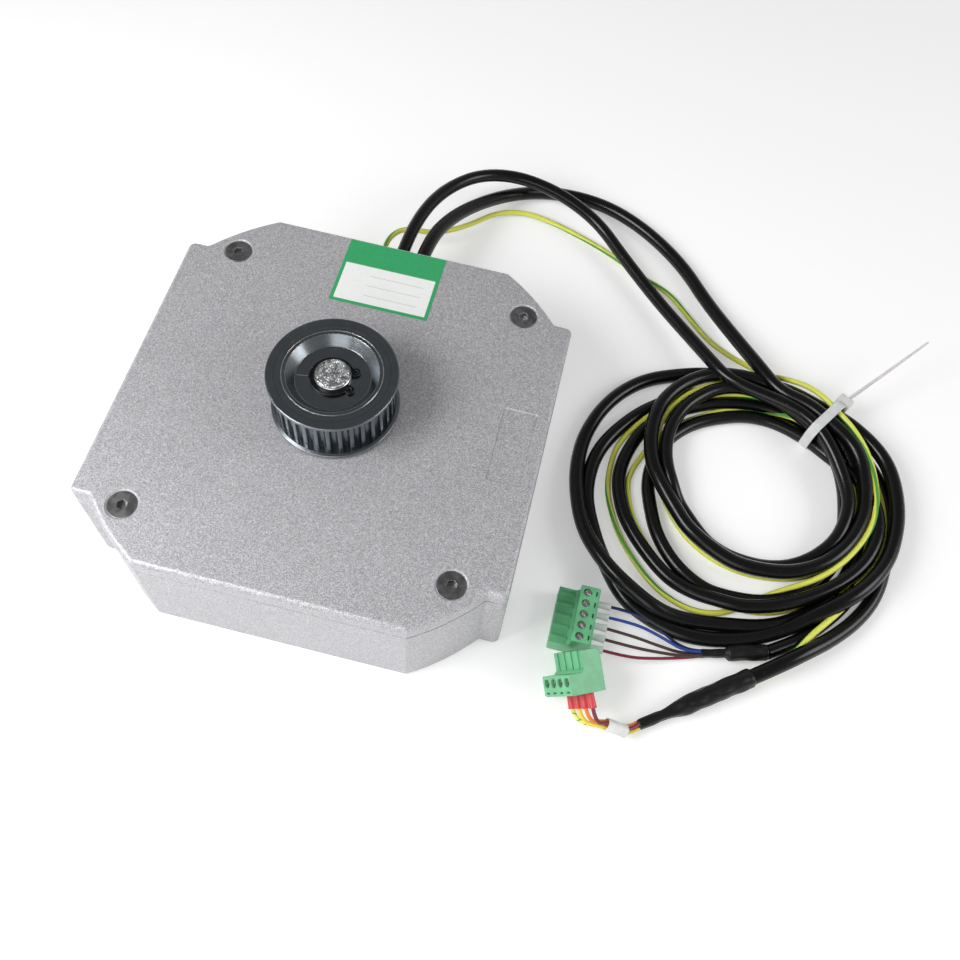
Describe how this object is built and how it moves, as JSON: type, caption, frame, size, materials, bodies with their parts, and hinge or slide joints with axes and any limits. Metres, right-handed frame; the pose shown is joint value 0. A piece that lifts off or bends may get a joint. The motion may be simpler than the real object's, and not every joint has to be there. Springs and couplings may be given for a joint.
{
  "type": "elevator door motor",
  "caption": "Flat square motor for a lift door, with a flanged toothed belt pulley, coiled leads and two terminal plugs.",
  "frame": {"origin": "on the motor axis, at the rear mounting face", "axes": "+Z along the shaft to the pulley, +Y to the side where the cables leave, +X to the side of their coil"},
  "size_m": [0.3556, 0.294, 0.0799],
  "materials": {
    "cast_alloy": "fine grey silver blast with a light sparkle",
    "plated_steel": "bright zinc plate",
    "blackened_steel": "oiled black oxide",
    "pulley_steel": "machined, dark oiled",
    "bearing_steel": "ground and polished",
    "lamination_steel": "laminated, oiled",
    "copper_winding": "enamelled copper, varnished",
    "magnet_nickel": "nickel plated",
    "insulator": "moulded",
    "seal_rubber": "dark rubber",
    "grommet_rubber": "soft black rubber",
    "black_jacket": "satin flexible sheath",
    "shrink_black": "shrunk tube, satin",
    "label_film": "printed film, green with a white panel",
    "board_green": "lacquered circuit board",
    "earth_jacket": "yellow with a green stripe",
    "tinned_copper": "tinned, crimped",
    "plug_green": "moulded light green",
    "ferrule_white": "moulded white",
    "ferrule_red": "moulded red",
    "marker_white": "white sleeve",
    "wire_navy": "dark blue insulation",
    "wire_blue": "blue insulation",
    "wire_brown": "dark brown insulation",
    "wire_maroon": "dark red insulation",
    "wire_orange": "orange insulation",
    "wire_yellow": "yellow insulation",
    "tie_nylon": "natural translucent nylon"
  },
  "bodies": {
    "motor_body": {"rear_housing": "cast_alloy", "front_cover": "cast_alloy", "cover_seal": "seal_rubber", "cover_screws": "plated_steel", "inspection_label": "label_film", "stator_core": "lamination_steel", "stator_coils": "copper_winding", "coil_insulators": "insulator", "front_bearing_outer_race": "bearing_steel", "rear_bearing_outer_race": "bearing_steel", "preload_washer": "plated_steel", "encoder_cap": "plated_steel", "encoder_cap_screws": "plated_steel", "encoder_board": "board_green", "encoder_board_screws": "plated_steel", "earth_screw": "plated_steel", "cable_grommet": "grommet_rubber", "earth_terminal": "tinned_copper", "signal_cable_lead": "black_jacket", "power_cable_lead": "black_jacket", "earth_wire_lead": "earth_jacket", "cable_coil": "black_jacket", "cable_tie": "tie_nylon", "signal_cable_tail": "black_jacket", "power_cable_tail": "black_jacket", "earth_wire_tail": "earth_jacket", "signal_shrink_sleeve": "shrink_black", "power_shrink_sleeve": "shrink_black", "marker_sleeve": "marker_white", "signal_ferrules": "ferrule_white", "power_ferrules": "ferrule_red", "five_way_plug": "plug_green", "four_way_plug": "plug_green", "plug_clamp_screws": "plated_steel", "signal_wire_1": "wire_navy", "signal_wire_2": "wire_blue", "signal_wire_3": "wire_brown", "signal_wire_4": "wire_brown", "signal_wire_5": "wire_maroon", "power_wire_1": "wire_maroon", "power_wire_2": "wire_orange", "power_wire_3": "wire_yellow", "power_wire_4": "earth_jacket"},
    "rotor": {"shaft": "bearing_steel", "rotor_hub": "plated_steel", "rotor_magnets": "magnet_nickel", "front_bearing_inner_race": "bearing_steel", "rear_bearing_inner_race": "bearing_steel", "pulley_spacer": "plated_steel", "timing_pulley": "pulley_steel", "lower_flange": "pulley_steel", "upper_flange": "pulley_steel", "pulley_key": "plated_steel", "pulley_circlip": "blackened_steel", "encoder_magnet": "magnet_nickel"},
    "front_ball_set": {"front_bearing_balls": "bearing_steel", "front_ball_cage": "plated_steel"},
    "rear_ball_set": {"rear_bearing_balls": "bearing_steel", "rear_ball_cage": "plated_steel"}
  },
  "joints": [
    {"name": "shaft_spin", "type": "hinge", "parent": "motor_body", "child": "rotor", "pos_m": [0, 0, 0.032], "axis": [0, 0, 1], "continuous": true},
    {"name": "front_balls_spin", "type": "hinge", "parent": "motor_body", "child": "front_ball_set", "pos_m": [0, 0, 0.0445], "axis": [0, 0, 1], "continuous": true},
    {"name": "rear_balls_spin", "type": "hinge", "parent": "motor_body", "child": "rear_ball_set", "pos_m": [0, 0, 0.0195], "axis": [0, 0, 1], "continuous": true}
  ],
  "couplings": [
    {"joint": "front_balls_spin", "follows": "shaft_spin", "ratio": 0.381},
    {"joint": "rear_balls_spin", "follows": "shaft_spin", "ratio": 0.381}
  ]
}
